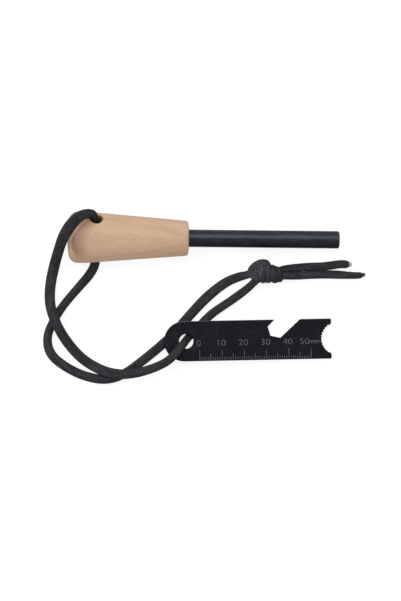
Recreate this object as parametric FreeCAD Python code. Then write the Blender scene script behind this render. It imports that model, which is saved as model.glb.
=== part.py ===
import FreeCAD, Part
import math
import os

# A ferro rod fire starter, laid out on a table as a set.
# A turned hardwood handle carries a round ferrocerium rod, bonded into a blind bore in its nose.
# A cord lanyard is threaded through a hole drilled across the handle and through the eye of a flat
# steel striker. Both strands are tied together in one knot and end in two heat-sealed tails.
# The striker is a plate with a rule along its lower edge, a bottle-opener hook with an angled
# notch in its upper edge, and a toothed hollow in its end for scraping sticks and the rod.
# Millimetres. +Z is up from the table. +X runs along the tool from the butt to the rod's tip.
# The origin lies on the table, under the middle of the box round the handle, rod and striker.

Vector = FreeCAD.Vector

# Handle
handle_length = 54.0
handle_crown_radius = 11.5
handle_nose_radius = 7.8
butt_dome_radius = 45.0
butt_edge_round = 4.0
crown_width = 8.4
nose_edge_break = 0.6

# Hole for the lanyard, drilled across the handle's axis
lanyard_hole_radius = 2.8
lanyard_hole_station = 12.4
lanyard_hole_lean_degrees = 51.0
lanyard_hole_round = 0.8

# Ferro rod and the adhesive that holds it. The rod's seat is ground a little under size, to key
# the adhesive, and its full diameter starts just outside the handle's nose.
rod_radius = 3.9
rod_free_length = 67.8
rod_seat_radius = 3.7
rod_seat_depth = 20.0
rod_shoulder_gap = 0.3
rod_tip_chamfer = 0.5
adhesive_film = 0.35
adhesive_floor = 0.5
film_clearance = 0.01
bore_mouth_chamfer = 0.35

# Striker plate
plate_length = 75.0
plate_width = 18.0
plate_thickness = 2.0
plate_edge_break = 0.2
plate_corner_round = 0.6
eye_radius = 3.25
eye_offset = 0.9

# Opener hook and angled notch, along the plate from the centre of its round end
# and down from its upper edge
hook_tip_along = 40.7
hook_throat_along = 37.5
hook_throat_depth = 3.1
notch_floor_start_along = 38.7
notch_floor_start_depth = 7.2
notch_floor_end_along = 43.2
notch_floor_end_depth = 8.2
notch_shoulder_along = 52.2
notch_corner_round = 0.6
notch_shoulder_round = 1.0
hook_tip_round = 0.25

# Toothed hollow in the plate's end
hollow_radius = 7.15
hollow_centre_overhang = 2.85
hollow_lip_round = 0.8
tooth_count = 11
tooth_pitch_degrees = 10.5
tooth_depth = 0.4

# Where the pieces lie on the table
tool_butt_x = -60.8
tool_axis_y = 21.8
striker_x = -8.2
striker_y = -24.3
striker_yaw_degrees = 1.66

# Lanyard
cord_diameter = 3.5
cord_sides = 12
cord_bend_share = 0.45
prop_clearance = 0.2
prop_along = 10.8

# Knot, from the side where the strands go in. Its turns are the cord's own, drawn tight.
# Each turn has its place along the knot, across it and above the table, its outer radius and its
# slant. All but the slant are shares of the cord's diameter.
knot_x = 20.6
knot_y = 6.4
knot_sides = 20
knot_turn_shares = [
    (0.50, 0.20, 1.12, 0.98, 26.0),
    (1.12, 0.22, 1.22, 1.16, 14.0),
    (1.80, 0.20, 1.40, 1.38, 4.0),
    (2.50, 0.13, 1.40, 1.38, -3.0),
    (3.22, -0.10, 1.20, 1.08, -5.0),
    (3.82, -0.08, 1.18, 1.00, -6.0),
]
# Section of one turn: how far each ring is drawn in below the crown, and how far to its side,
# both as shares of the cord's diameter
knot_section_shares = [(0.25, -0.28), (0.03, -0.13), (0.03, 0.13), (0.25, 0.28)]

# Heat-sealed tips of the tails
seal_length = 1.3
seal_round = 0.9

# Routes of the lanyard's free stretches on the table, point by point.
# Both strands start in the middle of the handle's hole and end in the knot.
over_strand_route = [
    (-48.4, 21.8, 11.2),
    (-48.2, 26.1, 14.7),
    (-48.6, 30.9, 18.7),
    (-51.3, 33.2, 20.6),
    (-55.9, 31.8, 22.1),
    (-59.8, 27.4, 23.8),
    (-62.8, 22.2, 21.3),
    (-64.5, 17.3, 15.4),
    (-65.9, 12.7, 8.9),
    (-67.2, 8.2, 3.8),
    (-68.6, 1.8, 1.9),
    (-68.9, -5.0, 3.0),
    (-67.8, -11.2, 5.7),
    (-65.1, -18.0, 5.7),
    (-61.2, -24.8, 2.6),
    (-54.2, -32.7, 1.75),
    (-45.4, -37.6, 2.8),
    (-37.8, -39.4, 5.8),
    (-29.6, -39.2, 6.3),
    (-21.8, -36.8, 7.9),
    (-14.6, -33.0, 9.2),
    (-8.6, -26.1, 9.6),
    (-6.2, -22.9, 1.8),
    (-1.5, -17.4, 1.75),
    (4.0, -11.7, 1.75),
    (10.6, -7.3, 1.75),
    (17.2, -2.6, 1.85),
    (21.6, 1.1, 2.5),
    (24.4, 4.0, 3.8),
]
under_strand_route = [
    (-48.4, 21.8, 11.2),
    (-48.6, 17.5, 7.7),
    (-48.3, 10.4, 1.75),
    (-50.2, 5.0, 1.75),
    (-56.0, -1.2, 1.75),
    (-62.3, -8.4, 1.75),
    (-66.8, -15.6, 1.75),
    (-70.0, -23.0, 1.75),
    (-68.4, -30.6, 1.75),
    (-61.8, -36.0, 1.75),
    (-53.0, -40.4, 1.75),
    (-43.0, -42.4, 1.75),
    (-34.4, -39.6, 1.75),
    (-25.2, -32.4, 1.75),
    (-14.6, -23.0, 1.75),
    (-6.6, -13.5, 1.75),
    (1.8, -4.3, 1.75),
    (10.2, 2.4, 1.75),
    (17.6, 5.5, 2.3),
    (22.6, 7.3, 4.1),
]
upper_tail_route = [
    (33.4, 8.1, 3.2),
    (38.6, 9.8, 2.4),
    (45.4, 9.9, 1.75),
    (54.0, 10.0, 1.75),
    (60.4, 11.0, 1.75),
    (65.2, 11.0, 1.75),
]
lower_tail_route = [
    (33.4, 5.3, 6.3),
    (38.8, 5.7, 3.9),
    (46.4, 6.1, 1.9),
    (55.0, 6.2, 1.75),
    (64.2, 6.3, 1.75),
    (70.6, 5.8, 1.75),
]

# One length by which every cutting body overruns what it cuts
overrun = 1.0


def revolved(edges):
    """Solid made by turning a closed profile in the XZ plane about the X axis."""
    face = Part.Face(Part.Wire(edges))
    solid = face.revolve(Vector(0, 0, 0), Vector(1, 0, 0), 360)
    return solid


def circular_edges(shape, along, radius):
    """Round edges about the X axis at one station along it."""
    found = []
    for edge in shape.Edges:
        if edge.Degenerated or not isinstance(edge.Curve, Part.Circle):
            continue
        at_station = abs(edge.Curve.Center.x - along) < film_clearance
        if at_station and abs(edge.Curve.Radius - radius) < film_clearance:
            found.append(edge)
    return found


def bore_radius():
    return rod_seat_radius + adhesive_film


def bore_depth():
    return rod_seat_depth + adhesive_floor


def butt_edges():
    """Profile of the butt: a shallow dome and the round edge that leads to the crown."""
    edge_height = handle_crown_radius - butt_edge_round
    reach = butt_dome_radius - butt_edge_round
    edge_along = butt_dome_radius - math.sqrt(reach**2 - edge_height**2)
    edge_centre = Vector(edge_along, 0, edge_height)
    dome_centre = Vector(butt_dome_radius, 0, 0)
    outward = (edge_centre - dome_centre).normalize()
    dome_end = dome_centre + outward * butt_dome_radius
    dome_slope = math.asin(dome_end.z / butt_dome_radius) / 2
    dome_middle = dome_centre + Vector(-math.cos(dome_slope), 0, math.sin(dome_slope)) * (
        butt_dome_radius
    )
    edge_middle = edge_centre + (outward + Vector(0, 0, 1)).normalize() * butt_edge_round
    crown_start = Vector(edge_along, 0, handle_crown_radius)
    dome = Part.Arc(Vector(0, 0, 0), dome_middle, dome_end)
    edge = Part.Arc(dome_end, edge_middle, crown_start)
    return [dome.toShape(), edge.toShape()], crown_start


def handle_blank():
    """Turned blank: a domed butt, a full crown for the palm, and a straight taper to the nose."""
    edges, crown_start = butt_edges()
    crown_end = Vector(crown_width, 0, handle_crown_radius)
    nose_edge = Vector(handle_length, 0, handle_nose_radius)
    nose_centre = Vector(handle_length, 0, 0)
    edges.append(Part.LineSegment(crown_start, crown_end).toShape())
    edges.append(Part.LineSegment(crown_end, nose_edge).toShape())
    edges.append(Part.LineSegment(nose_edge, nose_centre).toShape())
    edges.append(Part.LineSegment(nose_centre, Vector(0, 0, 0)).toShape())
    blank = revolved(edges)
    nose = circular_edges(blank, handle_length, handle_nose_radius)
    return blank.makeChamfer(nose_edge_break, nose)


def handle():
    """Turned handle with a blind bore for the rod and a cross hole for the lanyard."""
    body = handle_blank()
    bore = Part.makeCylinder(
        bore_radius(),
        bore_depth() + overrun,
        Vector(handle_length - bore_depth(), 0, 0),
        Vector(1, 0, 0),
    )
    mouth = Part.makeCone(
        bore_radius(),
        bore_radius() + bore_mouth_chamfer + overrun,
        bore_mouth_chamfer + overrun,
        Vector(handle_length - bore_mouth_chamfer, 0, 0),
        Vector(1, 0, 0),
    )
    reach = handle_crown_radius + overrun
    hole = Part.makeCylinder(
        lanyard_hole_radius, 2 * reach, lanyard_hole_centre() - lanyard_hole_direction() * reach,
        lanyard_hole_direction(),
    )
    body = body.cut(bore).cut(mouth).cut(hole)
    return body.makeFillet(lanyard_hole_round, mouth_edges(body))


def lanyard_hole_centre():
    return Vector(lanyard_hole_station, 0, 0)


def lanyard_hole_direction():
    lean = math.radians(lanyard_hole_lean_degrees)
    return Vector(0, math.sin(lean), math.cos(lean))


def mouth_edges(body):
    """The two curved edges where the lanyard hole breaks out of the handle."""
    found = []
    for edge in body.Edges:
        middle = edge.valueAt((edge.FirstParameter + edge.LastParameter) / 2)
        offset = middle - lanyard_hole_centre()
        along = offset.dot(lanyard_hole_direction())
        away = (offset - lanyard_hole_direction() * along).Length
        if abs(away - lanyard_hole_radius) < film_clearance and abs(along) > lanyard_hole_radius:
            found.append(edge)
    return found


def rod_shoulder():
    return handle_length + rod_shoulder_gap


def rod_end():
    return handle_length + rod_free_length


def ferro_rod():
    """Round rod: a seat for the handle's bore, the full diameter, and a small chamfer at its tip."""
    seat_start = handle_length - rod_seat_depth
    seat = Part.makeCylinder(
        rod_seat_radius, rod_shoulder() - seat_start, Vector(seat_start, 0, 0), Vector(1, 0, 0)
    )
    rod = Part.makeCylinder(
        rod_radius, rod_end() - rod_shoulder(), Vector(rod_shoulder(), 0, 0), Vector(1, 0, 0)
    )
    rod = rod.makeChamfer(rod_tip_chamfer, circular_edges(rod, rod_end(), rod_radius))
    return seat.fuse(rod)


def rod_adhesive():
    """Cup-shaped film of adhesive between the rod and its bore."""
    floor_x = handle_length - bore_depth() + film_clearance
    rim_x = handle_length - bore_mouth_chamfer
    outer = Part.makeCylinder(
        bore_radius() - film_clearance, rim_x - floor_x, Vector(floor_x, 0, 0), Vector(1, 0, 0)
    )
    inner = Part.makeCylinder(
        rod_seat_radius + film_clearance,
        rod_seat_depth + overrun,
        Vector(handle_length - rod_seat_depth - film_clearance, 0, 0),
        Vector(1, 0, 0),
    )
    return outer.cut(inner)


def tool_placement():
    """Lays the tool down: the handle's crown and the rod's tip both touch the table."""
    tip_station = rod_end() - rod_tip_chamfer
    nose_down = math.atan2(handle_crown_radius - rod_radius, tip_station - crown_width)
    axis_height = rod_radius * math.cos(nose_down) + tip_station * math.sin(nose_down)
    return FreeCAD.Placement(
        Vector(tool_butt_x, tool_axis_y, axis_height),
        FreeCAD.Rotation(Vector(0, 1, 0), math.degrees(nose_down)),
    )


def plate_end():
    """Distance from the centre of the plate's round end to its toothed end."""
    return plate_length - plate_width / 2


def upright_edges(shape, places, reach):
    """Edges across the plate's thickness that stand at the given places."""
    found = []
    for edge in shape.Edges:
        first = edge.Vertexes[0].Point
        last = edge.Vertexes[-1].Point
        upright = math.hypot(first.x - last.x, first.y - last.y) < reach
        if not upright or abs(first.z - last.z) < reach:
            continue
        if any(math.hypot(first.x - x, first.y - y) < reach for x, y in places):
            found.append(edge)
    return found


def hollow_lip():
    """Half the opening of the toothed hollow where it meets the plate's end."""
    return math.sqrt(hollow_radius**2 - hollow_centre_overhang**2)


def plate_blank():
    """Plate with its round end, hook, notch and hollow, before the teeth and the eye."""
    top = plate_width / 2
    end = plate_end()
    hook_tip = (hook_tip_along, top)
    throat = (hook_throat_along, top - hook_throat_depth)
    floor_start = (notch_floor_start_along, top - notch_floor_start_depth)
    floor_end = (notch_floor_end_along, top - notch_floor_end_depth)
    shoulder = (notch_shoulder_along, top)
    lip = hollow_lip()
    hollow_bottom = (end + hollow_centre_overhang - hollow_radius, 0)
    straight = [(0, top), hook_tip, throat, floor_start, floor_end, shoulder, (end, top), (end, lip)]
    points = [Vector(x, y, 0) for x, y in straight]
    edges = [
        Part.LineSegment(first, last).toShape() for first, last in zip(points, points[1:])
    ]
    lower_lip = Vector(end, -lip, 0)
    lower_corner = Vector(end, -top, 0)
    lower_start = Vector(0, -top, 0)
    edges.append(Part.Arc(points[-1], Vector(*hollow_bottom, 0), lower_lip).toShape())
    edges.append(Part.LineSegment(lower_lip, lower_corner).toShape())
    edges.append(Part.LineSegment(lower_corner, lower_start).toShape())
    edges.append(Part.Arc(lower_start, Vector(-top, 0, 0), points[0]).toShape())
    blank = Part.Face(Part.Wire(edges)).extrude(Vector(0, 0, plate_thickness))
    rounds = [
        (hook_tip_round, [hook_tip]),
        (notch_corner_round, [throat, floor_start, floor_end]),
        (notch_shoulder_round, [shoulder]),
        (plate_corner_round, [(end, top), (end, -top)]),
        (hollow_lip_round, [(end, lip), (end, -lip)]),
    ]
    for radius, places in rounds:
        blank = blank.makeFillet(radius, upright_edges(blank, places, film_clearance))
    return blank


def flat_outline_edges(shape):
    """Edges of the outline on the plate's two faces."""
    found = []
    for edge in shape.Edges:
        box = edge.BoundBox
        if box.ZLength < film_clearance:
            found.append(edge)
    return found


def tooth_gap(angle):
    """One V-shaped gap between two teeth of the hollow, cut through the plate."""
    centre = Vector(plate_end() + hollow_centre_overhang, 0, 0)
    pitch = math.radians(tooth_pitch_degrees)

    def at(radius, turn):
        return centre + Vector(-radius * math.cos(turn), radius * math.sin(turn), -overrun)

    corners = [
        at(hollow_radius + tooth_depth, angle),
        at(hollow_radius - tooth_depth, angle + pitch),
        at(hollow_radius - tooth_depth, angle - pitch),
    ]
    face = Part.Face(Part.makePolygon(corners + corners[:1]))
    return face.extrude(Vector(0, 0, plate_thickness + 2 * overrun))


def striker_plate():
    """Steel striker: plate blank with broken edges, an eye for the lanyard and a toothed hollow."""
    plate = plate_blank()
    eye = Part.makeCylinder(
        eye_radius, plate_thickness + 2 * overrun, Vector(eye_offset, 0, -overrun)
    )
    plate = plate.cut(eye)
    plate = plate.makeChamfer(plate_edge_break, flat_outline_edges(plate))
    first = -(tooth_count - 1) / 2
    gaps = [
        tooth_gap(math.radians((first + number) * tooth_pitch_degrees))
        for number in range(tooth_count)
    ]
    return plate.cut(gaps)


def striker_placement():
    """Leans the striker on the lanyard's strand below its upper edge, with its toothed end down."""
    low_end = plate_end() - plate_edge_break
    prop_height = cord_diameter + prop_clearance
    lean_degrees = math.degrees(math.asin(prop_height / (low_end - prop_along)))
    yaw = FreeCAD.Rotation(Vector(0, 0, 1), striker_yaw_degrees)
    lean = FreeCAD.Rotation(Vector(0, 1, 0), lean_degrees)
    height = low_end * math.sin(math.radians(lean_degrees))
    return FreeCAD.Placement(Vector(striker_x, striker_y, height), yaw.multiply(lean))


def placed(shape, placement):
    moved = shape.copy()
    moved.Placement = placement
    return moved


def bend_radius(previous, corner, following):
    """Radius of the tangent arc that rounds one point of a route, and half the turn there."""
    arriving = corner - previous
    leaving = following - corner
    half_turn = arriving.getAngle(leaving) / 2
    shorter = min(arriving.Length, leaving.Length)
    return cord_bend_share * shorter / math.tan(half_turn), half_turn


def route_path(points):
    """Straight runs joined by tangent arcs, one at each inner point of the route."""
    edges = []
    run_start = points[0]
    for previous, corner, following in zip(points, points[1:], points[2:]):
        radius, half_turn = bend_radius(previous, corner, following)
        back = (previous - corner).normalize()
        ahead = (following - corner).normalize()
        tangent_length = radius * math.tan(half_turn)
        arc_start = corner + back * tangent_length
        arc_end = corner + ahead * tangent_length
        inward = (back + ahead).normalize()
        arc_middle = corner + inward * (radius / math.cos(half_turn) - radius)
        edges.append(Part.LineSegment(run_start, arc_start).toShape())
        edges.append(Part.Arc(arc_start, arc_middle, arc_end).toShape())
        run_start = arc_end
    edges.append(Part.LineSegment(run_start, points[-1]).toShape())
    return Part.Wire(edges)


def polygon(centre, direction, radius, sides):
    """Closed polygon with a flat side below, square to a direction."""
    side = direction.cross(Vector(0, 0, 1)).normalize()
    rise = side.cross(direction).normalize()
    corners = []
    for number in range(sides):
        turn = 2 * math.pi * (number + 1 / 2) / sides
        corners.append(centre + (side * math.cos(turn) + rise * math.sin(turn)) * radius)
    return Part.makePolygon(corners + corners[:1])


def cord_tube(name, route):
    """Faceted tube along one free stretch of the lanyard. Prints its bends, checks its volume."""
    points = [Vector(*place) for place in route]
    path = route_path(points)
    section = polygon(points[0], points[1] - points[0], cord_diameter / 2, cord_sides)
    tube = path.makePipeShell([section], True, False)
    radii = [
        bend_radius(previous, corner, following)[0]
        for previous, corner, following in zip(points, points[1:], points[2:])
    ]
    expected = Part.Face(section).Area * path.Length
    print(
        name,
        "length", round(path.Length, 1),
        "volume over section times length", round(tube.Volume / expected, 4),
        "radii", [round(radius, 1) for radius in radii],
    )
    return tube


def knot_ring(along_share, across_share, height_share, radius_share, slant_degrees):
    """One ring round the knot, across it and slanted."""
    slant = math.radians(slant_degrees)
    centre = Vector(
        knot_x + cord_diameter * along_share,
        knot_y + cord_diameter * across_share,
        cord_diameter * height_share,
    )
    axis = Vector(math.cos(slant), math.sin(slant), 0)
    return polygon(centre, axis, cord_diameter * radius_share, knot_sides)


def knot():
    """The knot as one closed solid: the tightened turns that show, ring by ring along it."""
    rings = []
    for along, across, height, radius, slant in knot_turn_shares:
        for drawn_in, aside in knot_section_shares:
            rings.append(knot_ring(along + aside, across, height, radius - drawn_in, slant))
    return Part.makeLoft(rings, True, True)


def tail_seal(route):
    """Rounded bead of melted sheath on the end of a tail."""
    before, end = [Vector(*place) for place in route[-2:]]
    direction = (end - before).normalize()
    radius = cord_diameter / 2
    shoulder = end + direction * (seal_length - seal_round)
    tip = end + direction * seal_length
    rings = [
        polygon(end, direction, radius, cord_sides),
        polygon(shoulder, direction, radius, cord_sides),
        polygon(tip, direction, radius - seal_round, cord_sides),
    ]
    return Part.makeLoft(rings, True, True)


def write(name, shape):
    shape.exportStep(f"parts/{name}.step")


os.makedirs("parts", exist_ok=True)
write("handle", placed(handle(), tool_placement()))
write("ferro_rod", placed(ferro_rod(), tool_placement()))
write("rod_adhesive", placed(rod_adhesive(), tool_placement()))
write("striker_plate", placed(striker_plate(), striker_placement()))
write("lanyard_over_strand", cord_tube("over strand", over_strand_route))
write("lanyard_under_strand", cord_tube("under strand", under_strand_route))
write("lanyard_knot", knot())
write("lanyard_tail_upper", cord_tube("upper tail", upper_tail_route))
write("lanyard_tail_lower", cord_tube("lower tail", lower_tail_route))
write("tail_seal_upper", tail_seal(upper_tail_route))
write("tail_seal_lower", tail_seal(lower_tail_route))
rod_direction = tool_placement().Rotation.multVec(Vector(1, 0, 0))
for label, station in (("shoulder", rod_shoulder()), ("end", rod_end())):
    print("rod", label, tool_placement().multVec(Vector(station, 0, 0)), "along", rod_direction)
eye_centre = striker_placement().multVec(Vector(eye_offset, 0, plate_thickness / 2))
eye_direction = striker_placement().Rotation.multVec(Vector(0, 0, 1))
print("striker eye", eye_centre, "along", eye_direction)
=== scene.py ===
import math

import bmesh
import bpy
import numpy as np
from mathutils import Matrix, Vector


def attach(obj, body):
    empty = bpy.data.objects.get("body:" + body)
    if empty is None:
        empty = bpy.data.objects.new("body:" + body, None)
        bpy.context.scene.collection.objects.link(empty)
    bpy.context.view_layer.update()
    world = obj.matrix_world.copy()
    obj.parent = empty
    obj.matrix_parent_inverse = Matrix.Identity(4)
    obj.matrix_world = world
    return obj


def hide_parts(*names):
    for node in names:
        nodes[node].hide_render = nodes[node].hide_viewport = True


# Looks of a ferro rod fire starter laid out as a set: beech handle with its coated rod, black
# striker plate with a rule, and one braided cord that ties them together.
# The scene is in metres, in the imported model's frame. Where nothing else is said, the named
# lengths are in millimetres, and MM turns them into metres.

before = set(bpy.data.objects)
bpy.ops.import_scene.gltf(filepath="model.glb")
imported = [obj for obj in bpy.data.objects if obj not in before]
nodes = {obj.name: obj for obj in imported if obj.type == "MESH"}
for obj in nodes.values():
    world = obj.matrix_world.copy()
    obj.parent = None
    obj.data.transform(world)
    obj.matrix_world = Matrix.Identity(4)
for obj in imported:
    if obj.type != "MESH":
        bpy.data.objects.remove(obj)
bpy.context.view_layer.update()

MM = 0.001

# Cord: a braided sheath of carriers, each over two and under two of the other set
CORD_WIDTH = 3.5
CORD_GIRTH = 11.0
CARRIERS = 16
BRAID_ANGLE = math.radians(38.0)
BRAID_RELIEF = 0.07
RING_SPACING = 0.25
RING_POINTS = 64
# Its section is an ellipse, or a fuller oval with an exponent above 2
FULLNESS = 2.4
# How much of the level each ring takes on from the one before, so that a slack stretch lies flat
LEVELLING = 0.06
# Where it meets itself: how near counts, in cord widths, how far along counts as another stretch,
# the gap left, and the neck in the handle's hole that isn't pressed
PRESSED_NEAR = 1.6
OWN_STRETCH = 5.6
PRESSED_GAP = 0.02
NECK_IN_HOLE = 8.0
# Larger than any run along a strand, so that the other strand is always another stretch
OTHER_STRAND = 1e4
UP = (0, 0, 1)
# A direction that leads less than this towards something never meets it
GRAZING = 1e-6

# Melted beads at the ends: how far past the end, how wide against the cord, and how long
BEAD_OFFSET = 0.3
BEAD_SHARE = 0.94
BEAD_LENGTH = 1.0

# Each strand's points: place in millimetres and the cord's width there.
# The strand that crosses over, from the middle of the handle's hole to its free end
over_strand = [
    (-48.3, 21.8, 11.2, 3.3),
    (-48.0, 26.5, 14.9, 3.1),
    (-48.4, 31.5, 18.7, 3.3),
    (-50.9, 32.7, 21.0, 4.3),
    (-55.5, 31.1, 22.8, 4.9),
    (-59.4, 27.0, 23.4, 5.2),
    (-62.4, 21.9, 21.0, 5.0),
    (-64.1, 17.1, 15.2, 4.8),
    (-65.6, 12.6, 8.7, 4.8),
    (-66.8, 8.2, 3.7, 4.9),
    (-68.2, 1.8, 1.6, 4.8),
    (-68.7, -5.0, 2.8, 4.7),
    (-67.8, -11.2, 5.6, 4.6),
    (-65.0, -18.0, 5.6, 4.5),
    (-61.1, -24.7, 2.5, 4.6),
    (-54.2, -32.6, 1.2, 4.6),
    (-45.4, -37.7, 2.6, 4.6),
    (-37.8, -39.5, 5.6, 4.5),
    (-29.6, -38.9, 6.2, 4.2),
    (-21.8, -36.5, 7.9, 4.0),
    (-14.6, -33.0, 9.2, 3.9),
    (-8.9, -26.0, 9.6, 3.7),
    (-6.5, -22.7, 1.8, 3.6),
    (-1.5, -17.4, 1.7, 3.8),
    (4.0, -11.7, 1.7, 3.9),
    (10.6, -7.3, 1.7, 3.8),
    (17.2, -2.6, 1.8, 3.8),
    (21.2, 0.7, 2.3, 3.5),
    (23.7, 3.3, 3.1, 3.4),
    (26.6, 5.3, 3.5, 3.6),
    (29.7, 5.9, 3.5, 3.6),
    (31.5, 5.7, 3.3, 3.6),
    (32.2, 5.1, 2.9, 3.6),
    (32.4, 4.1, 3.8, 3.6),
    (32.1, 3.6, 5.6, 3.6),
    (31.8, 4.4, 7.6, 3.6),
    (31.6, 5.9, 8.3, 3.6),
    (31.4, 7.2, 8.0, 3.6),
    (31.2, 8.3, 6.8, 3.6),
    (30.8, 8.7, 4.4, 3.6),
    (30.6, 8.6, 2.0, 3.6),
    (30.0, 7.6, 1.2, 3.6),
    (29.0, 5.9, 1.2, 3.6),
    (27.9, 4.5, 1.5, 3.6),
    (27.1, 3.8, 3.2, 3.6),
    (26.7, 3.8, 5.8, 3.6),
    (26.5, 4.5, 8.0, 3.6),
    (26.3, 5.8, 8.8, 3.6),
    (26.2, 7.3, 8.8, 3.6),
    (26.0, 8.5, 8.2, 3.6),
    (25.9, 9.2, 6.8, 3.6),
    (24.8, 9.1, 5.0, 3.6),
    (24.1, 8.3, 4.4, 3.6),
    (24.0, 7.2, 5.4, 3.6),
    (24.8, 6.5, 6.4, 3.6),
    (26.6, 6.6, 6.1, 3.6),
    (29.3, 6.9, 5.6, 3.6),
    (31.7, 7.2, 5.2, 3.6),
    (34.0, 7.7, 4.6, 3.4),
    (36.2, 8.4, 3.6, 3.5),
    (38.9, 8.8, 2.7, 3.6),
    (43.4, 9.3, 2.1, 3.7),
    (47.9, 9.6, 2.1, 3.8),
    (52.3, 9.7, 2.15, 3.8),
    (56.8, 10.2, 1.95, 3.8),
    (61.3, 11.0, 1.65, 3.7),
    (64.2, 10.9, 1.6, 3.6),
    (65.3, 10.9, 1.6, 2.4),
]
# The strand that runs beneath it, from the middle of the handle's hole to its free end
under_strand = [
    (-48.4, 21.8, 11.2, 3.5),
    (-48.5, 17.4, 7.5, 3.7),
    (-48.0, 10.5, 1.5, 4.2),
    (-50.5, 5.3, 1.55, 4.2),
    (-56.2, -1.2, 1.7, 3.9),
    (-62.3, -8.4, 1.7, 3.8),
    (-66.8, -15.6, 1.7, 3.9),
    (-69.9, -23.0, 1.7, 3.9),
    (-68.4, -30.6, 1.45, 4.3),
    (-61.9, -36.0, 1.5, 4.2),
    (-53.0, -40.4, 1.5, 4.2),
    (-43.0, -42.2, 1.5, 4.2),
    (-34.7, -39.4, 1.5, 4.1),
    (-25.4, -32.2, 1.5, 4.2),
    (-14.6, -23.0, 1.5, 4.3),
    (-6.6, -13.5, 1.4, 4.4),
    (1.8, -4.2, 1.35, 4.6),
    (10.2, 2.5, 1.45, 4.4),
    (16.2, 4.9, 1.8, 4.1),
    (19.3, 5.6, 2.5, 3.6),
    (21.5, 6.5, 3.1, 3.4),
    (24.1, 7.1, 3.5, 3.6),
    (27.3, 7.6, 3.5, 3.6),
    (30.4, 7.6, 3.5, 3.6),
    (32.5, 7.4, 3.3, 3.6),
    (33.6, 6.7, 2.8, 3.6),
    (34.0, 5.2, 2.7, 3.6),
    (34.1, 4.1, 4.1, 3.6),
    (33.8, 4.3, 6.2, 3.6),
    (33.5, 5.9, 7.6, 3.6),
    (33.1, 6.9, 7.4, 3.6),
    (32.7, 7.7, 6.2, 3.6),
    (32.4, 8.1, 4.0, 3.6),
    (32.0, 7.9, 1.8, 3.6),
    (31.3, 7.0, 1.2, 3.6),
    (30.7, 5.7, 1.2, 3.6),
    (29.9, 4.4, 1.6, 3.6),
    (29.2, 3.9, 3.2, 3.6),
    (29.0, 3.9, 5.8, 3.6),
    (28.8, 4.5, 7.9, 3.6),
    (28.7, 5.8, 8.6, 3.6),
    (28.7, 7.7, 8.6, 3.6),
    (28.6, 9.6, 7.9, 3.6),
    (28.3, 10.8, 6.8, 3.6),
    (26.5, 11.1, 5.3, 3.6),
    (24.2, 10.4, 4.0, 3.6),
    (22.1, 8.6, 3.6, 3.6),
    (21.4, 7.1, 4.8, 3.6),
    (22.1, 5.6, 6.4, 3.6),
    (24.1, 4.7, 7.0, 3.6),
    (26.6, 4.8, 6.2, 3.6),
    (29.3, 5.1, 5.6, 3.6),
    (32.0, 5.3, 5.3, 3.6),
    (34.4, 5.4, 5.0, 3.4),
    (36.7, 5.5, 4.4, 3.5),
    (39.4, 5.5, 3.5, 3.6),
    (43.0, 5.7, 2.4, 3.8),
    (47.0, 6.0, 1.8, 3.8),
    (51.5, 6.2, 1.7, 3.8),
    (56.0, 6.3, 1.7, 3.8),
    (60.4, 6.2, 1.7, 3.8),
    (64.5, 6.0, 1.6, 3.4),
    (68.1, 5.9, 1.5, 3.1),
    (70.5, 6.0, 1.4, 2.9),
    (71.4, 6.2, 1.4, 2.0),
]

# Painted sheen: paler stretches of both strands, where their run catches the light, beside the
# butt and from the striker to the knot. Each starts and ends so far from the hole's middle, and
# fades out.
SHEEN_STRETCHES = ((46.0, 74.0), (155.0, 258.0))
FADE = 12.0
# How many times longer than wide the sheath's mottling is
STREAK = 3.5
# Painted shade of a lengthwise crease, where the slack cord has lain folded: its place round the
# cord and its half width, in turns
CREASE_PLACE = 0.31
CREASE_WIDTH = 0.04
# The lobe where the knot bends the cord most, made paler by painted light where it catches the
# lamp, and from where to where that fades
KNOT_LOBE = Vector((25.0, 7.4, 6.5))
LOBE_FADE = (2.5, 7.5)

# Striker: its packed place
STRIKER_BASE = Vector((-8.2, -24.3, 4.4265))
STRIKER_YAW = math.radians(1.66)
STRIKER_LEAN = math.radians(3.8574)
PLATE_THICKNESS = 2.0

# Rule etched along the striker's lower edge, in the plate's own places. Its marks are thin layers.
MARK_SUNK = 0.01
MARK_PROUD = 0.02
RULE_ZERO = 6.8
RULE_LENGTH = 50
RULE_FOOT = -8.6
TICK_WIDTH = 0.2
TICK_TOPS = {1: -7.2, 5: -5.8, 10: -4.0}
# The middle of each number and of the unit, along the plate, and their common middle across it
NUMBER_PLACES = {0: 6.4, 10: 16.4, 20: 26.4, 30: 36.4, 40: 46.4, 50: 53.9}
UNIT_PLACE = 58.5
NUMBER_MIDDLE = -1.1
NUMBER_HEIGHT = 4.0
UNIT_HEIGHT = 3.0
# How far the strokes are thinned or thickened, and the letters widened
NUMBER_WEIGHT = -0.05
UNIT_WEIGHT = 0.02
WIDENED = 1.15

# Scratches round the striker's eye, where the cord rubs: from where to where they fade
EYE_FADE = (4.5, 10.0)

# Tool: its packed place and lean
TOOL_BUTT = Vector((-60.8, 21.8, 12.09))
TOOL_LEAN = math.atan2(0.067164, 0.997742)

# The lanyard's hole: a point on its axis, and how far the axis leans from upright
HOLE_MIDDLE = Vector((-48.43, 21.8, 11.26))
HOLE_LEAN = math.radians(51)

# Growth rings of the handle: their pith lies below the tool and rises towards the nose
RING_PITH = (0, 2.0, -34.0)
RING_RISE = -0.006
RING_WIDTH = 3.6
RING_START = 0.08

# Stretch that leaves a texture the same all along one axis
ENDLESS = 1e6

# Paler sapwood on the handle's side towards the striker, across its axis
SAPWOOD = (-10.0, 1.0)
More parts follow.
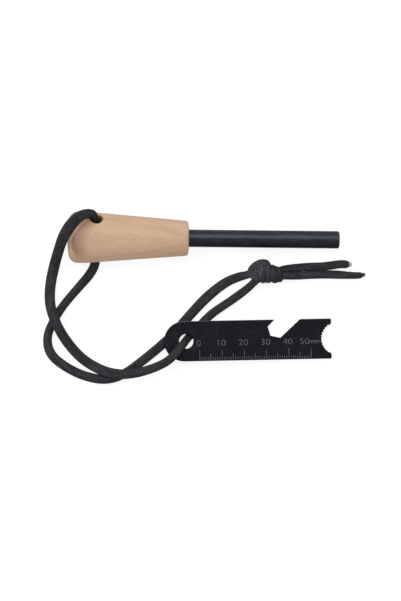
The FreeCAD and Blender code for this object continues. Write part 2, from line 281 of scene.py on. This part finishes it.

# Painted shade: a darker crescent on the butt's upper side, where the rounded end turns away from
# the light and the cord's shadow falls. How much it bows per millimetre aside, how far its middle
# lies aside, and its start, its end and its height in the tool's own places
CRESCENT_BOW = 0.066
CRESCENT_ASIDE = 2.9
CRESCENT_START = (0.7, 1.6)
CRESCENT_END = (1.8, 9.0)
CRESCENT_HEIGHT = (5.0, 10.0)

# Darker in and round the lanyard's hole: from where to where it fades, out from its axis
HOLE_DARKENING = (2.7, 3.5)

# Camera: straight down, as far off as leaves its scale the same all over the set
PHOTO_CENTRE = Vector((-1.035, -5.956))
PHOTO_TURN = math.radians(0.56)
PHOTO_FIELD = 268.9
PHOTO_PLANE = 5.0
CAMERA_DISTANCE = 3000.0
CAMERA_REACH = 20000.0
SENSOR = 36.0

# Strength of the room's light on the side nearest the lower edge of the picture, and opposite
ROOM_DIM = 0.48
ROOM_BRIGHT = 0.73

# Large soft lamp over the set's upper left: place and size in metres, power in watts
KEY_PLACE = (-0.28, 0.43, 0.98)
KEY_SIZE = (1.3, 0.65)
KEY_POWER = 6.2

# White table: its half side, in metres, and how far it lies below the set. Light comes back from
# it as from white paint. The camera and reflections see it shaded, with a glow that makes up for
# that.
TABLE_REACH = 3.0
TABLE_DROP = 0.05
TABLE_WHITE = (0.86, 0.86, 0.86)
TABLE_SHADED = (0.28, 0.28, 0.28)
GLOW_SEEN = 0.83
GLOW_MIRRORED = 0.25


class Finish:
    """A material in the making, with its nodes, links and shader."""

    def __init__(self, name, colour, roughness, specular=0.5):
        self.material = bpy.data.materials.new(name)
        self.material.use_nodes = True
        self.tree = self.material.node_tree
        self.shader = self.tree.nodes["Principled BSDF"]
        self.shader.inputs["Base Color"].default_value = (*colour, 1.0)
        self.shader.inputs["Roughness"].default_value = roughness
        self.shader.inputs["Specular IOR Level"].default_value = specular

    def node(self, kind, inputs, **settings):
        """Adds a node. Each input is a number, a colour, a vector or another node's output."""
        made = self.tree.nodes.new(kind)
        for name, value in settings.items():
            setattr(made, name, value)
        for name, value in inputs.items():
            if isinstance(value, bpy.types.NodeSocket):
                self.tree.links.new(value, made.inputs[name])
            else:
                made.inputs[name].default_value = value
        return made

    def source(self, name):
        """One of the surface's own coordinates."""
        return self.node("ShaderNodeTexCoord", {}).outputs[name]

    def parts(self, vector):
        """The three parts of a vector."""
        return self.node("ShaderNodeSeparateXYZ", {"Vector": vector}).outputs

    def place(self, centre=(0, 0, 0), turn=(0, 0, 0), stretch=(1, 1, 1)):
        """Object coordinates about a centre in metres, turned and stretched."""
        mapping = self.node(
            "ShaderNodeMapping",
            {
                "Vector": self.source("Object"),
                "Location": centre,
                "Rotation": turn,
                "Scale": stretch,
            },
            vector_type="TEXTURE",
        )
        return mapping.outputs["Vector"]

    def noise(self, place, grain, detail=3.0, roughness=0.5):
        """Noise whose features are about one grain across, in millimetres."""
        made = self.node(
            "ShaderNodeTexNoise",
            {
                "Vector": place,
                "Scale": 1 / (grain * MM),
                "Detail": detail,
                "Roughness": roughness,
            },
        )
        return made.outputs["Fac"]

    def calc(self, operation, first, second=0.0):
        """Works one value out from one or two others."""
        made = self.node("ShaderNodeMath", {0: first, 1: second}, operation=operation)
        return made.outputs[0]

    def times(self, first, *others):
        """Multiplies values."""
        for other in others:
            first = self.calc("MULTIPLY", first, other)
        return first

    def length(self, place):
        """How far a place is from its centre."""
        return self.node("ShaderNodeVectorMath", {0: place}, operation="LENGTH").outputs["Value"]

    def facing(self):
        """The three parts of the direction that the surface faces."""
        return self.parts(self.source("Normal"))

    def toned(self, colour, tone):
        """A colour made darker or paler by a factor."""
        made = self.node("ShaderNodeVectorMath", {0: colour, "Scale": tone}, operation="SCALE")
        return made.outputs["Vector"]

    def between(self, value, low, high, first=0.0, last=1.0):
        """Follows a value from low to high, and gives first to last."""
        made = self.node(
            "ShaderNodeMapRange",
            {"Value": value, "From Min": low, "From Max": high, "To Min": first, "To Max": last},
        )
        return made.outputs["Result"]

    def over(self, length, ends, first=0.0, last=1.0):
        """The same for a length, from one end to the other in millimetres."""
        return self.between(length, ends[0] * MM, ends[1] * MM, first, last)

    def blend(self, share, first, second):
        """Mixes two colours by a share."""
        made = self.node("ShaderNodeMix", {0: share}, data_type="RGBA")
        for socket, value in ((made.inputs[6], first), (made.inputs[7], second)):
            if isinstance(value, bpy.types.NodeSocket):
                self.tree.links.new(value, socket)
            else:
                socket.default_value = (*value, 1.0)
        return made.outputs[2]

    def relief(self, height, depth, strength=1.0):
        """Bump of a given depth in millimetres."""
        made = self.node(
            "ShaderNodeBump", {"Height": height, "Distance": depth * MM, "Strength": strength}
        )
        self.tree.links.new(made.outputs["Normal"], self.shader.inputs["Normal"])

    def colour(self, socket):
        self.tree.links.new(socket, self.shader.inputs["Base Color"])

    def roughness(self, socket):
        self.tree.links.new(socket, self.shader.inputs["Roughness"])


def beech():
    """Fine-pored hardwood: growth rings cut lengthwise by the taper, flecks and soft mottling,
    darker where the grain ends, with painted shade in a crescent on the butt's upper side, and
    darker in and round the lanyard's hole."""
    wood = Finish("beech", (0.6, 0.41, 0.275), 0.45, 0.5)
    tool = (TOOL_BUTT * MM, (0, TOOL_LEAN, 0))
    station = wood.parts(wood.place(*tool))

    # Growth rings
    pith = (TOOL_BUTT + Vector(RING_PITH)) * MM
    across = wood.place(pith, (0, TOOL_LEAN - RING_RISE, 0), (ENDLESS, 1, 1))
    wander = wood.noise(wood.place(*tool, (4.0, 1, 1)), 9.0, 2.0)
    ring = wood.times(wood.length(across), 1 / (RING_WIDTH * MM))
    ring = wood.calc("ADD", ring, wood.times(wander, 0.35))
    phase = wood.calc("FRACT", wood.calc("ADD", ring, RING_START))
    line = wood.times(
        wood.between(phase, 0.6, 0.92), wood.between(phase, 0.92, 0.98, 1.0, 0.0), 0.28
    )

    # Mottling, sapwood, streaks and flecks
    mottle = wood.noise(wood.place(*tool, (3.0, 1, 1)), 3.0, 5.0, 0.65)
    ground = wood.blend(
        wood.between(mottle, 0.25, 0.75), (0.565, 0.365, 0.235), (0.675, 0.46, 0.305)
    )
    sapwood = wood.over(station["Y"], SAPWOOD, 0.8, 0.0)
    sided = wood.blend(sapwood, ground, (0.74, 0.485, 0.31))
    ringed = wood.blend(line, sided, (0.45, 0.275, 0.165))
    streak = wood.noise(wood.place(*tool, (12.0, 1, 1)), 0.9, 3.0)
    streaked = wood.blend(wood.between(streak, 0.45, 0.75, 0.0, 0.2), ringed, (0.46, 0.29, 0.18))
    fleck = wood.noise(wood.place(*tool, (3.5, 1, 1)), 0.5, 2.0)
    flecked = wood.blend(wood.between(fleck, 0.5, 0.72, 0.0, 0.35), streaked, (0.40, 0.24, 0.15))

    # End grain, faint all over the butt's slope, and painted shade, strong in a crescent on the
    # butt's upper side
    facing = wood.node(
        "ShaderNodeVectorMath",
        {
            0: wood.source("Normal"),
            1: (math.cos(TOOL_LEAN), 0, -math.sin(TOOL_LEAN)),
        },
        operation="DOT_PRODUCT",
    ).outputs["Value"]
    steepness = wood.calc("ABSOLUTE", facing)
    end_grain = wood.times(
        wood.between(steepness, 0.1, 0.4), wood.between(steepness, 0.7, 0.95, 1.0, 0.5), 0.15
    )
    aside = wood.calc("ADD", station["Y"], CRESCENT_ASIDE * MM)
    bow = wood.times(aside, aside, CRESCENT_BOW / MM)
    inward = wood.calc("SUBTRACT", station["X"], bow)
    # Painted shade of the butt's rounded end and of the cord's shadow on it
    painted_crescent_shade = wood.times(
        wood.over(inward, CRESCENT_START),
        wood.over(inward, CRESCENT_END, 1.0, 0.0),
        wood.over(station["Z"], CRESCENT_HEIGHT),
        0.95,
    )
    # The end grain and the painted shade darken the wood together
    end_grain_and_painted_shade = wood.calc("MAXIMUM", end_grain, painted_crescent_shade)
    grain_ends_and_shade = wood.blend(end_grain_and_painted_shade, flecked, (0.225, 0.121, 0.073))

    bore = wood.place(HOLE_MIDDLE * MM, (-HOLE_LEAN, TOOL_LEAN, 0), (1, 1, ENDLESS))
    # Darker in and round the lanyard's hole
    hole_darkening = wood.over(wood.length(bore), HOLE_DARKENING, 0.85, 0.0)
    wood.colour(wood.blend(hole_darkening, grain_ends_and_shade, (0.07, 0.04, 0.025)))
    wood.relief(wood.noise(wood.place(*tool, (14.0, 1, 1)), 0.18, 3.0), 0.04, 0.5)
    wood.roughness(wood.between(mottle, 0.3, 0.7, 0.38, 0.5))
    return wood.material


def ferro_coating():
    """Black coating on the cast rod: a dark metallic skin, faintly mottled and pitted, drawn
    lengthwise, with painted light that makes it paler on the side facing +Y, towards the lamp, and
    darker on the other."""
    coat = Finish("ferro_coating", (0.05, 0.055, 0.07), 0.36, 0.5)
    coat.shader.inputs["Metallic"].default_value = 0.85
    skin = coat.noise(coat.place(stretch=(5.0, 1, 1)), 0.9, 5.0, 0.65)
    skin_tone = coat.blend(
        coat.between(skin, 0.3, 0.7), (0.023, 0.0255, 0.033), (0.05, 0.055, 0.071)
    )
    # Painted light: paler on the side facing +Y, towards the lamp, and darker away from it
    wear_and_painted_light = coat.between(coat.facing()["Y"], -0.6, 0.8, 0.65, 1.3)
    coat.colour(coat.toned(skin_tone, wear_and_painted_light))
    coat.roughness(coat.between(skin, 0.3, 0.7, 0.25, 0.38))
    coat.relief(coat.noise(coat.place(), 0.6, 4.0, 0.6), 0.03, 0.6)
    return coat.material


def adhesive():
    """Cured resin, faintly uneven."""
    resin = Finish("adhesive", (0.10, 0.075, 0.05), 0.35, 0.5)
    resin.relief(resin.noise(resin.place(), 0.6), 0.03, 0.5)
    return resin.material


def black_oxide():
    """Blackened steel: a dry, even skin with scuffs, scratches round the eye, and a painted
    highlight along its upper edge on the side towards the tool."""
    steel = Finish("black_oxide", (0.006, 0.0065, 0.009), 0.5, 0.15)
    cloud = steel.noise(steel.place(), 6.0, 4.0, 0.6)
    speck = steel.noise(steel.place(), 0.35, 3.0)
    tone = steel.blend(cloud, (0.0013, 0.0014, 0.004), (0.0044, 0.0047, 0.0092))
    scuffed = steel.blend(steel.between(speck, 0.62, 0.8, 0.0, 0.3), tone, (0.03, 0.03, 0.034))

    drawn = steel.noise(steel.place(turn=(0, 0, 0.5), stretch=(9.0, 1, 1)), 0.25, 2.0)
    drawn_across = steel.noise(steel.place(turn=(0, 0, -0.7), stretch=(12.0, 1, 1)), 0.25, 2.0)
    scratches = steel.calc(
        "MAXIMUM", steel.between(drawn, 0.6, 0.68), steel.between(drawn_across, 0.6, 0.68)
    )
    from_eye = steel.length(steel.place(STRIKER_BASE * MM))
    wear_and_painted_light = steel.calc(
        "MAXIMUM",
        steel.between(steel.noise(steel.place(), 7.0, 1.0), 0.5, 0.65, 0.0, 0.4),
        steel.over(from_eye, EYE_FADE, 0.65, 0.0),
    )
    scratched = steel.blend(steel.times(scratches, wear_and_painted_light), scuffed, (0.055, 0.055, 0.06))

    # Painted highlight: a pale line on the chamfer that faces up and towards +Y, where it catches
    # the light
    facing = steel.facing()
    painted_edge_highlight = steel.times(
        steel.between(facing["Z"], 0.3, 0.5), steel.between(facing["Y"], 0.55, 0.68)
    )
    steel.colour(steel.blend(painted_edge_highlight, scratched, (0.16, 0.16, 0.17)))
    steel.roughness(steel.between(cloud, 0.3, 0.7, 0.42, 0.58))
    steel.relief(speck, 0.02, 0.4)
    return steel.material


def etched_mark():
    """Pale, dry and patchy finish of the etched rule."""
    mark = Finish("etched_mark", (0.17, 0.17, 0.18), 0.7, 0.2)
    patchy = mark.noise(mark.place(), 0.5, 3.0)
    mark.colour(
        mark.blend(mark.between(patchy, 0.35, 0.65), (0.06, 0.06, 0.067), (0.21, 0.21, 0.22))
    )
    return mark.material


def braided_nylon():
    """Charcoal sheath: two sets of carriers, each over two and under two of the other, mottled
    lengthwise. Painted shade darkens the weave's hollows, a lengthwise crease and the cord's
    flanks; painted light makes it paler on top, on the side that faces -X, on the knot's lobe and
    along the stretches that catch the light."""
    nylon = Finish("braided_nylon", (0.022, 0.023, 0.026), 0.6, 0.3)
    nylon.shader.inputs["Sheen Weight"].default_value = 0.04
    nylon.shader.inputs["Sheen Roughness"].default_value = 0.4
    # The cord's own map: turns round it, and its girths along it
    sheath = nylon.parts(nylon.source("UV"))

    # Weave
    around = nylon.times(sheath["X"], CARRIERS)
    along = nylon.times(sheath["Y"], CARRIERS * math.tan(BRAID_ANGLE))
    right = nylon.calc("ADD", around, along)
    left = nylon.calc("SUBTRACT", around, along)
    crossing = nylon.calc("ADD", nylon.calc("FLOOR", right), nylon.calc("FLOOR", left))
    right_on_top = nylon.calc("LESS_THAN", nylon.calc("FLOORED_MODULO", crossing, 4.0), 1.5)
    left_on_top = nylon.calc("SUBTRACT", 1.0, right_on_top)

    def crown(position):
        off_middle = nylon.calc("SUBTRACT", nylon.calc("FRACT", position), 0.5)
        return nylon.calc("SUBTRACT", 1.0, nylon.times(off_middle, off_middle, 4.0))

    height = nylon.calc(
        "ADD", nylon.times(crown(right), right_on_top), nylon.times(crown(left), left_on_top)
    )

    # Mottling, drawn out along the cord
    turn = nylon.times(sheath["X"], 2 * math.pi)
    rolled = nylon.node(
        "ShaderNodeCombineXYZ",
        {
            "X": nylon.times(nylon.calc("COSINE", turn), CORD_WIDTH / 2 * MM),
            "Y": nylon.times(nylon.calc("SINE", turn), CORD_WIDTH / 2 * MM),
            "Z": nylon.times(sheath["Y"], CORD_GIRTH / STREAK * MM),
        },
    ).outputs["Vector"]
    wear_and_painted_light = nylon.noise(rolled, 1.1, 3.0, 0.65)
    # Painted shade: the weave's hollows, between the carriers' crowns, take a far darker tone
    painted_hollow_shade = nylon.blend(wear_and_painted_light, (0.003, 0.0032, 0.0045), (0.006, 0.0063, 0.0085))
    pale = nylon.blend(
        nylon.between(wear_and_painted_light, 0.4, 0.6), (0.021, 0.0218, 0.028), (0.057, 0.0585, 0.0725)
    )
    woven = nylon.blend(nylon.between(height, 0.35, 1.0), painted_hollow_shade, pale)

    # Painted light and shade, from how the surface faces and from its place on the cord
    facing = nylon.facing()
    off_crease = nylon.calc("ABSOLUTE", nylon.calc("SUBTRACT", sheath["X"], CREASE_PLACE))
    # Painted shade along the crease, patchy along the cord
    painted_crease_shade = nylon.times(
        nylon.between(off_crease, 0.0, CREASE_WIDTH, 1.0, 0.0),
        nylon.between(nylon.noise(nylon.place(), 14.0, 1.0), 0.42, 0.6, 0.0, 0.45),
    )
    # Painted light on the knot's lobe, fading out from its middle
    from_lobe = nylon.length(nylon.place(KNOT_LOBE * MM))
    run = nylon.times(sheath["Y"], CORD_GIRTH)
    # Painted sheen on the stretches whose run catches the light
    sheen_stretches = [
        nylon.times(
            nylon.between(run, start - FADE, start), nylon.between(run, end, end + FADE, 1.0, 0.0)
        )
        for start, end in SHEEN_STRETCHES
    ]
    # Painted shade on the flanks, painted light on top and on the side facing -X, the lobe's and
    # the stretches' painted light, and the crease's painted shade
    tone = nylon.times(
        nylon.between(facing["Z"], 0.0, 0.85, 0.5, 1.05),
        nylon.between(facing["X"], -0.7, 0.7, 1.17, 0.8),
        nylon.over(from_lobe, LOBE_FADE, 2.3, 1.0),
        nylon.between(nylon.calc("MAXIMUM", *sheen_stretches), 0.0, 1.0, 0.82, 1.0),
        nylon.calc("SUBTRACT", 1.0, painted_crease_shade),
    )
    nylon.colour(nylon.toned(woven, tone))
    nylon.relief(height, 0.12, 0.8)
    return nylon.material


def melted_nylon(name, cool, burnt):
    """Sheath melted to a bead: glassy, in two tones."""
    melt = Finish(name, cool, 0.35, 0.45)
    patch = melt.noise(melt.place(), 0.9, 3.0)
    melt.colour(melt.blend(melt.between(patch, 0.35, 0.65), cool, burnt))
    melt.relief(patch, 0.2, 0.6)
    return melt.material


def piece(name, mesh, body, material):
    """Shows a mesh as a piece that rides on a body."""
    made = bpy.data.objects.new(name, mesh)
    bpy.context.scene.collection.objects.link(made)
    mesh.materials.append(material)
    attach(made, body)
    return made


def smooth_line(name, strand):
    """Points of the strand's own spline at even spacing, with the cord's width and the run at
    each."""
    curve = bpy.data.curves.new(name, "CURVE")
    curve.dimensions = "3D"
    curve.resolution_u = 24
    spline = curve.splines.new("NURBS")
    spline.points.add(len(strand) - 1)
    for point, control in zip(spline.points, strand):
        point.co = (*control[:3], 1.0)
    spline.order_u = 3
    spline.use_endpoint_u = True
    holder = bpy.data.objects.new(name, curve)
    bpy.context.scene.collection.objects.link(holder)
    mesh = bpy.data.meshes.new_from_object(holder)
    raw = np.array([vertex.co for vertex in mesh.vertices])
    bpy.data.objects.remove(holder)
    bpy.data.meshes.remove(mesh)
    steps = np.linalg.norm(np.diff(raw, axis=0), axis=1)
    run = np.concatenate([[0.0], np.cumsum(steps)])
    even = np.linspace(0, run[-1], int(run[-1] / RING_SPACING) + 1)
    line = np.stack([np.interp(even, run, raw[:, axis]) for axis in range(3)], axis=1)
    # Greville place of each control point gives where its width holds
    knots = np.clip(np.arange(len(strand)) - 0.5, 0, len(strand) - 2)
    places = np.interp(knots / (len(strand) - 2), np.linspace(0, 1, len(raw)), run)
    widths = np.interp(even, places, [point[3] for point in strand])
    return line, widths, even


def carried_sides(line):
    """Directions across and over the line. The side is carried from ring to ring and eased
    towards level, so that a slack stretch lies flat."""
    along = np.gradient(line, axis=0)
    along /= np.linalg.norm(along, axis=1)[:, None]
    side = np.cross(along[0], UP)
    sides = []
    for direction in along:
        level = np.cross(direction, UP)
        level *= math.copysign(1.0, np.dot(level, side))
        side = side - direction * np.dot(side, direction)
        side /= np.linalg.norm(side)
        side = side + level * LEVELLING
        side /= np.linalg.norm(side)
        sides.append(side)
    sides = np.array(sides)
    return sides, np.cross(sides, along)


def braid_height(turn, run):
    """Height of the sheath's weave, from nothing to 1: each carrier goes over two, under two."""
    around = turn / (2 * math.pi) * CARRIERS
    along = run / CORD_GIRTH * CARRIERS * math.tan(BRAID_ANGLE)
    right = around + along
    left = around - along
    on_top = np.mod(np.floor(right) + np.floor(left), 4) < 1.5
    position = np.where(on_top, right, left)
    off_middle = position - np.floor(position) - 0.5
    return 1 - 4 * off_middle ** 2


def room_beside(line, run, neighbours, outward):
    """How far each ring may reach outward before it meets a neighbouring stretch of cord."""
    room = np.full(outward.shape[:2], np.inf)
    for number, centre in enumerate(line):
        if run[number] < NECK_IN_HOLE:
            continue
        away = neighbours[0] - centre
        near = (np.linalg.norm(away, axis=1) < PRESSED_NEAR * CORD_WIDTH) & (
            np.abs(neighbours[1] - run[number]) > OWN_STRETCH
        )
        if not near.any():
            continue
        away = away[near]
        facing = outward[number] @ away.T
        reach = np.where(
            facing > GRAZING, (away ** 2).sum(axis=1) / 2 / np.maximum(facing, GRAZING), np.inf
        )
        room[number] = reach.min(axis=1)
    return room


def braided_cord(name, line, widths, run, others):
    """Braided tube along a line. The wider it lies, the lower it is, so that its girth stays. It
    is pressed flat where it meets the table or other cord."""
    sides, tops = carried_sides(line)
    turns = 2 * math.pi * np.arange(RING_POINTS) / RING_POINTS
    heights = np.minimum(widths, 2 * CORD_WIDTH - widths)
    flat = np.stack([np.cos(turns), np.sin(turns)])
    flat /= (np.abs(flat) ** FULLNESS).sum(axis=0) ** (1 / FULLNESS)
    spoke = (
        sides[:, None, :] * (flat[0][None, :, None] * widths[:, None, None] / 2)
        + tops[:, None, :] * (flat[1][None, :, None] * heights[:, None, None] / 2)
    )
    reach = np.linalg.norm(spoke, axis=2)
    outward = spoke / reach[:, :, None]
    room = room_beside(line, run, others, outward)
    below = np.where(
        outward[:, :, 2] < -GRAZING,
        line[:, 2][:, None] / np.maximum(-outward[:, :, 2], GRAZING),
        np.inf,
    )
    weave = braid_height(turns[None, :], run[:, None]) - 1
    reach = np.minimum(reach + weave * BRAID_RELIEF, np.minimum(room - PRESSED_GAP, below))
    points = (line[:, None, :] + outward * reach[:, :, None]).reshape(-1, 3) * MM
    rings = len(line)
    first = np.arange(RING_POINTS)
    following = (first + 1) % RING_POINTS
    faces = []
    for ring in range(rings - 1):
        here = ring * RING_POINTS
        ahead = here + RING_POINTS
        faces.append(np.stack(
            [here + first, ahead + first, ahead + following, here + following], axis=1
        ))
    quads = np.concatenate(faces).tolist()
    caps = [first.tolist(), (first[::-1] + (rings - 1) * RING_POINTS).tolist()]
    mesh = bpy.data.meshes.new(name)
    mesh.from_pydata(points.tolist(), [], quads + caps)
    mesh.polygons.foreach_set("use_smooth", [True] * len(mesh.polygons))
    around = np.stack([first, first, first + 1, first + 1], axis=1) / RING_POINTS
    ahead = np.array([0, 1, 1, 0])
    uv = mesh.uv_layers.new(name="sheath")
    stretch = [
        np.stack([around, run[ring + ahead][None, :].repeat(RING_POINTS, 0) / CORD_GIRTH], axis=2)
        for ring in range(rings - 1)
    ]
    flat_uv = np.concatenate([np.concatenate(stretch).reshape(-1), np.zeros(RING_POINTS * 4)])
    uv.data.foreach_set("uv", flat_uv)
    mesh.validate()
    return mesh


def melted_tip(name, end, direction, radius, length):
    """Bead at a tail's end: a turned drop, pressed a little out of round."""
    drop = bmesh.new()
    bmesh.ops.create_uvsphere(drop, u_segments=28, v_segments=16, radius=1.0)
    bmesh.ops.scale(drop, vec=(radius, radius, length), verts=drop.verts)
    for vertex in drop.verts:
        lump = math.sin(3.1 * vertex.co.x / radius + 1.0) * math.cos(2.3 * vertex.co.y / radius)
        vertex.co *= 1 + 0.06 * lump
    turn = Vector(UP).rotation_difference(direction).to_matrix().to_4x4()
    bmesh.ops.transform(drop, matrix=Matrix.Translation(end) @ turn, verts=drop.verts)
    bmesh.ops.scale(drop, vec=(MM, MM, MM), verts=drop.verts)
    mesh = bpy.data.meshes.new(name)
    drop.to_mesh(mesh)
    drop.free()
    mesh.polygons.foreach_set("use_smooth", [True] * len(mesh.polygons))
    return mesh


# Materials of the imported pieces
finishes = {
    "handle": beech(),
    "ferro_rod": ferro_coating(),
    "rod_adhesive": adhesive(),
    "striker_plate": black_oxide(),
}
for node_name, finish in finishes.items():
    for material_slot in nodes[node_name].material_slots:
        material_slot.material = finish

# Cord
nylon = braided_nylon()
strands = {
    "cord_over_strand": (
        over_strand, ("lanyard_over_strand", "lanyard_tail_upper", "tail_seal_upper")
    ),
    "cord_under_strand": (
        under_strand,
        ("lanyard_under_strand", "lanyard_knot", "lanyard_tail_lower", "tail_seal_lower"),
    ),
}
lines = {name: smooth_line(name, strand) for name, (strand, replaced) in strands.items()}
tips = {
    "cord_over_strand": melted_nylon("melt_pale", (0.5, 0.5, 0.51), (0.34, 0.34, 0.35)),
    "cord_under_strand": melted_nylon("melt_brown", (0.022, 0.021, 0.022), (0.045, 0.036, 0.032)),
}
for name, (strand, replaced) in strands.items():
    line, widths, run = lines[name]
    other = next(value for key, value in lines.items() if key != name)
    neighbours = (
        np.concatenate([line, other[0]]),
        np.concatenate([run, other[2] + OTHER_STRAND]),
    )
    cord_mesh = braided_cord(name, line, widths, run, neighbours)
    cord = piece(name, cord_mesh, "tool", nylon)
    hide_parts(*replaced)
    direction = Vector(line[-1] - line[-2]).normalized()
    tip_mesh = melted_tip(
        name + "_tip",
        Vector(line[-1]) + direction * BEAD_OFFSET,
        direction,
        widths[-1] / 2 * BEAD_SHARE,
        BEAD_LENGTH,
    )
    tip = piece(name + "_tip", tip_mesh, "tool", tips[name])

# Rule and numbers etched on the striker's upper face
plate_place = (
    Matrix.Translation(STRIKER_BASE)
    @ Matrix.Rotation(STRIKER_YAW, 4, "Z")
    @ Matrix.Rotation(STRIKER_LEAN, 4, "Y")
)
plate_face = Matrix.Translation((0, 0, PLATE_THICKNESS - MARK_SUNK))
to_metres = Matrix.Scale(MM, 4)


def on_plate(name, shape):
    """Puts a flat mesh, in the plate's own millimetres, on its upper face as a thin layer."""
    layer = bmesh.new()
    layer.from_mesh(shape)
    bpy.data.meshes.remove(shape)
    bmesh.ops.remove_doubles(layer, verts=layer.verts, dist=1e-4)
    raised = bmesh.ops.extrude_face_region(layer, geom=layer.faces[:])
    top = [item for item in raised["geom"] if isinstance(item, bmesh.types.BMVert)]
    bmesh.ops.translate(layer, vec=(0, 0, MARK_SUNK + MARK_PROUD), verts=top)
    bmesh.ops.recalc_face_normals(layer, faces=layer.faces)
    bmesh.ops.transform(layer, matrix=to_metres @ plate_place @ plate_face, verts=layer.verts)
    mesh = bpy.data.meshes.new(name)
    layer.to_mesh(mesh)
    layer.free()
    return piece(name, mesh, "striker", etched)


def rule_ticks():
    """One tick a millimetre, longer at every fifth and tenth."""
    ticks = bmesh.new()
    for step in range(RULE_LENGTH + 1):
        kind = 10 if step % 10 == 0 else 5 if step % 5 == 0 else 1
        tall = TICK_TOPS[kind] - RULE_FOOT
        place = (
            Matrix.Translation((RULE_ZERO + step, RULE_FOOT + tall / 2, 0))
            @ Matrix.Diagonal((TICK_WIDTH, tall, 1, 1))
        )
        bmesh.ops.create_grid(ticks, x_segments=1, y_segments=1, size=0.5, matrix=place)
    mesh = bpy.data.meshes.new("rule_ticks")
    ticks.to_mesh(mesh)
    ticks.free()
    return mesh


def lettering(text, height, weight, along):
    """Flat letters, centred at a place along the plate, made bolder by a weight."""
    curve = bpy.data.curves.new(text, "FONT")
    curve.body = text
    curve.size = height
    curve.align_x = "CENTER"
    curve.align_y = "CENTER"
    curve.resolution_u = 4
    curve.offset = weight
    holder = bpy.data.objects.new(text, curve)
    bpy.context.scene.collection.objects.link(holder)
    mesh = bpy.data.meshes.new_from_object(holder)
    bpy.data.objects.remove(holder)
    mesh.transform(
        Matrix.Translation((along, NUMBER_MIDDLE, 0)) @ Matrix.Diagonal((WIDENED, 1, 1, 1))
    )
    return mesh


etched = etched_mark()
on_plate("rule_ticks", rule_ticks())
for number, along in NUMBER_PLACES.items():
    on_plate(f"rule_number_{number}", lettering(str(number), NUMBER_HEIGHT, NUMBER_WEIGHT, along))
on_plate("rule_unit", lettering("mm", UNIT_HEIGHT, UNIT_WEIGHT, UNIT_PLACE))


def floor_finish():
    """White table. It shows white to the camera and in reflections, and keeps the set's shadow."""
    table = Finish("table", TABLE_WHITE, 0.9, 0.0)
    path = table.node("ShaderNodeLightPath", {}).outputs
    seen = path["Is Camera Ray"]
    mirrored = table.calc("MAXIMUM", path["Is Glossy Ray"], path["Is Transmission Ray"])
    table.colour(table.blend(table.calc("MAXIMUM", seen, mirrored), TABLE_WHITE, TABLE_SHADED))
    glow = table.calc("ADD", table.times(seen, GLOW_SEEN), table.times(mirrored, GLOW_MIRRORED))
    table.shader.inputs["Emission Color"].default_value = (1, 1, 1, 1)
    table.tree.links.new(glow, table.shader.inputs["Emission Strength"])
    return table.material


floor_sheet = bmesh.new()
bmesh.ops.create_grid(
    floor_sheet,
    x_segments=1,
    y_segments=1,
    size=TABLE_REACH,
    matrix=Matrix.Translation((0, 0, -TABLE_DROP * MM)),
)
floor_mesh = bpy.data.meshes.new("floor")
floor_sheet.to_mesh(floor_mesh)
floor_sheet.free()
floor = bpy.data.objects.new("floor", floor_mesh)
bpy.context.scene.collection.objects.link(floor)
floor_mesh.materials.append(floor_finish())

# Soft studio light: a pale room, brighter on the set's upper side, and one large lamp there. The
# camera sees the room as plain white.
world = bpy.data.worlds.new("studio")
bpy.context.scene.world = world
world.use_nodes = True
room_nodes = world.node_tree.nodes
room_links = world.node_tree.links
room = room_nodes["Background"]
room.inputs["Color"].default_value = (1, 1, 1, 1)
direction = room_nodes.new("ShaderNodeSeparateXYZ")
room_links.new(room_nodes.new("ShaderNodeTexCoord").outputs["Generated"], direction.inputs[0])
brightness = room_nodes.new("ShaderNodeMapRange")
brightness.inputs["From Min"].default_value = -1.0
brightness.inputs["To Min"].default_value = ROOM_DIM
brightness.inputs["To Max"].default_value = ROOM_BRIGHT
room_links.new(direction.outputs["Y"], brightness.inputs["Value"])
ray = room_nodes.new("ShaderNodeLightPath")
strength = room_nodes.new("ShaderNodeMix")
room_links.new(ray.outputs["Is Camera Ray"], strength.inputs["Factor"])
room_links.new(brightness.outputs["Result"], strength.inputs["A"])
strength.inputs["B"].default_value = 1.0
room_links.new(strength.outputs["Result"], room.inputs["Strength"])


def lamp(name, place, size, power):
    """Soft rectangular lamp that faces the middle of the set."""
    light = bpy.data.lights.new(name, "AREA")
    light.energy = power
    light.shape = "RECTANGLE"
    light.size, light.size_y = size
    holder = bpy.data.objects.new(name, light)
    bpy.context.scene.collection.objects.link(holder)
    holder.location = place
    holder.rotation_euler = (-Vector(place)).to_track_quat("-Z", "Y").to_euler()


lamp("key", KEY_PLACE, KEY_SIZE, KEY_POWER)

camera_data = bpy.data.cameras.new("camera")
camera = bpy.data.objects.new("camera", camera_data)
bpy.context.scene.collection.objects.link(camera)
camera_data.sensor_width = SENSOR
camera_data.lens = SENSOR * CAMERA_DISTANCE / PHOTO_FIELD
camera_data.clip_end = CAMERA_REACH * MM
camera.location = (*(PHOTO_CENTRE * MM), (CAMERA_DISTANCE + PHOTO_PLANE) * MM)
camera.rotation_euler = (0, 0, PHOTO_TURN)
bpy.context.scene.camera = camera
bpy.context.scene.view_settings.view_transform = "Standard"
